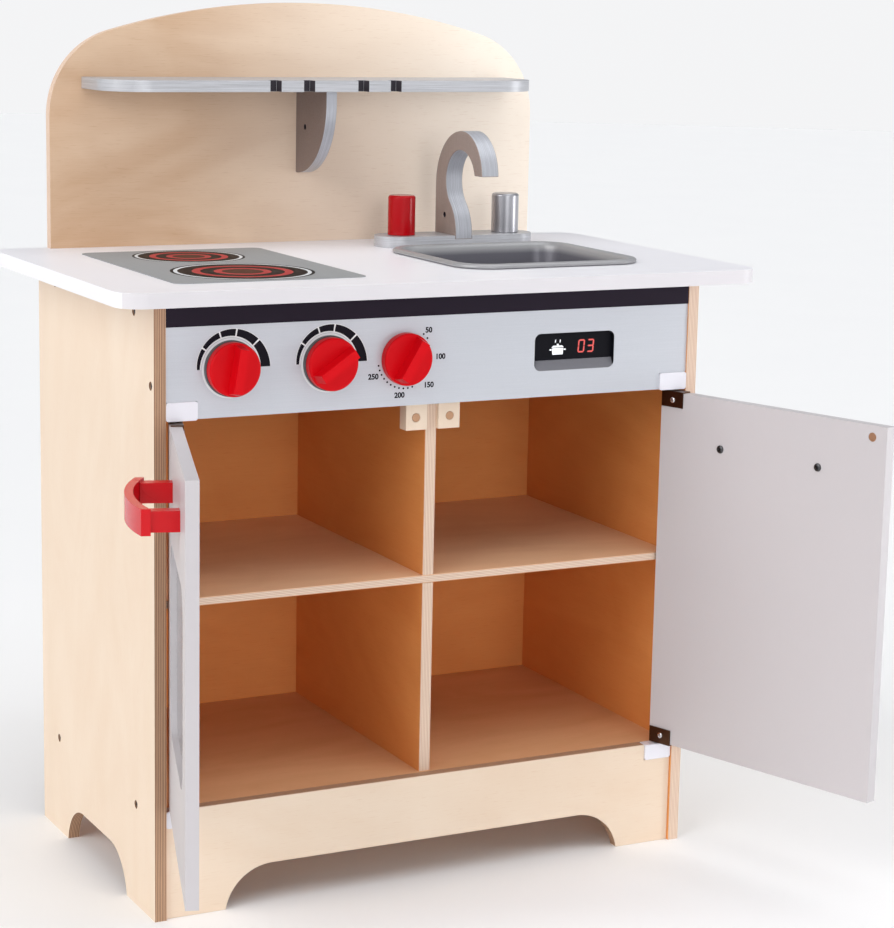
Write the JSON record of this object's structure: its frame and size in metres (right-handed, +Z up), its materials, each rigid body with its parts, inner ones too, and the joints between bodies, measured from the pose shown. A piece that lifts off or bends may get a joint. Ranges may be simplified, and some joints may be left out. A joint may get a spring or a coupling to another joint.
{
  "type": "toy kitchen",
  "caption": "Freestanding toy kitchen: plywood cupboard with swinging doors, worktop with hob and lift-out sink, turning knobs and taps, arched splashback with hanging shelf.",
  "frame": {"origin": "on the floor, at the middle of the ground that the kitchen covers with its doors open as they stand at rest", "axes": "+X to the right along the front, +Y from the front towards the wall, +Z up"},
  "size_m": [0.7538, 0.6166, 0.8809],
  "materials": {
    "birch": "clear matt lacquer over birch plywood",
    "birch_inside": "unpainted plywood inside the cupboard, warmer and darker",
    "white_lacquer": "smooth white paint on board",
    "red_plastic": "glossy moulded red",
    "red_lacquer": "glossy red lacquer on turned wood",
    "silver_paint": "satin silver-grey paint on plywood",
    "grey_plastic": "satin grey moulded plastic",
    "brushed_panel": "silver film with fine brushed lines",
    "hob_print": "printed grey film",
    "black_paint": "matt black paint",
    "display_black": "glossy black",
    "dark_ring": "dark grey plastic",
    "white_plastic": "white moulded plastic",
    "bronze": "bronzed steel, dark",
    "steel": "zinc-plated steel",
    "copper": "dull copper-coloured metal",
    "clear_pane": "clear acrylic"
  },
  "bodies": {
    "cabinet": {"side_panel_left": "birch", "side_panel_right": "birch", "floor_panel": "birch_inside", "centre_divider": "birch_inside", "mid_shelf": "birch_inside", "back_panel": "birch_inside", "front_skirt": "birch", "control_panel": "brushed_panel", "fascia_strip": "black_paint", "top_cleat_left": "birch", "top_cleat_right": "birch", "countertop": "white_lacquer", "splashback": "birch", "hanging_shelf": "silver_paint", "shelf_bracket": "silver_paint", "hob_plate": "hob_print", "faucet": "silver_paint", "faucet_plate": "silver_paint", "tap_pins": "steel", "knob_ring_1": "dark_ring", "knob_ring_2": "dark_ring", "display_plate": "display_black", "hinge_block_left_top": "white_plastic", "hinge_block_left_bottom": "white_plastic", "hinge_block_right_top": "white_plastic", "hinge_block_right_bottom": "white_plastic", "catch_block_left": "birch", "catch_block_right": "birch", "catch_magnets": "copper", "side_screws_left": "steel", "side_screws_right": "steel", "back_screws": "steel", "top_screws": "steel", "splash_screws": "steel"},
    "left_door": {"door_left": "white_lacquer", "oven_window": "clear_pane", "handle_left": "red_plastic", "door_bracket_left_top": "bronze", "door_bracket_left_bottom": "bronze", "hinge_pins_left": "steel", "bracket_screws_left": "steel", "handle_screws_left": "steel", "strike_disc_left": "copper"},
    "right_door": {"door_right": "white_lacquer", "handle_right": "red_plastic", "door_bracket_right_top": "bronze", "door_bracket_right_bottom": "bronze", "hinge_pins_right": "steel", "bracket_screws_right": "steel", "handle_screws_right": "steel", "strike_disc_right": "copper"},
    "left_knob": {"knob_1": "red_plastic", "knob_bolt_1": "steel"},
    "middle_knob": {"knob_2": "red_plastic", "knob_bolt_2": "steel"},
    "right_knob": {"knob_3": "red_plastic", "knob_bolt_3": "steel"},
    "red_tap": {"tap_red": "red_lacquer"},
    "grey_tap": {"tap_grey": "silver_paint"},
    "sink": {"sink_basin": "grey_plastic"}
  },
  "joints": [
    {"name": "left_door_hinge", "type": "hinge", "parent": "cabinet", "child": "left_door", "pos_m": [-0.2765, -0.04467, 0.302], "axis": [0, 0, 1], "range_deg": [-12, 107.8]},
    {"name": "right_door_hinge", "type": "hinge", "parent": "cabinet", "child": "right_door", "pos_m": [0.2765, -0.04467, 0.302], "axis": [0, 0, 1], "range_deg": [-107.8, 12]},
    {"name": "left_knob_turn", "type": "hinge", "parent": "cabinet", "child": "left_knob", "pos_m": [-0.2225, -0.05667, 0.542], "axis": [0, 1, 0], "continuous": true},
    {"name": "middle_knob_turn", "type": "hinge", "parent": "cabinet", "child": "middle_knob", "pos_m": [-0.1205, -0.05667, 0.542], "axis": [0, 1, 0], "continuous": true},
    {"name": "right_knob_turn", "type": "hinge", "parent": "cabinet", "child": "right_knob", "pos_m": [-0.038, -0.05667, 0.542], "axis": [0, 1, 0], "continuous": true},
    {"name": "red_tap_turn", "type": "hinge", "parent": "cabinet", "child": "red_tap", "pos_m": [0.0865, 0.21733, 0.65], "axis": [0, 0, 1], "continuous": true},
    {"name": "grey_tap_turn", "type": "hinge", "parent": "cabinet", "child": "grey_tap", "pos_m": [0.2145, 0.21733, 0.65], "axis": [0, 0, 1], "continuous": true},
    {"name": "sink_lift", "type": "slide", "parent": "cabinet", "child": "sink", "axis": [0, 0, 1], "range_m": [0, 0.06]}
  ]
}
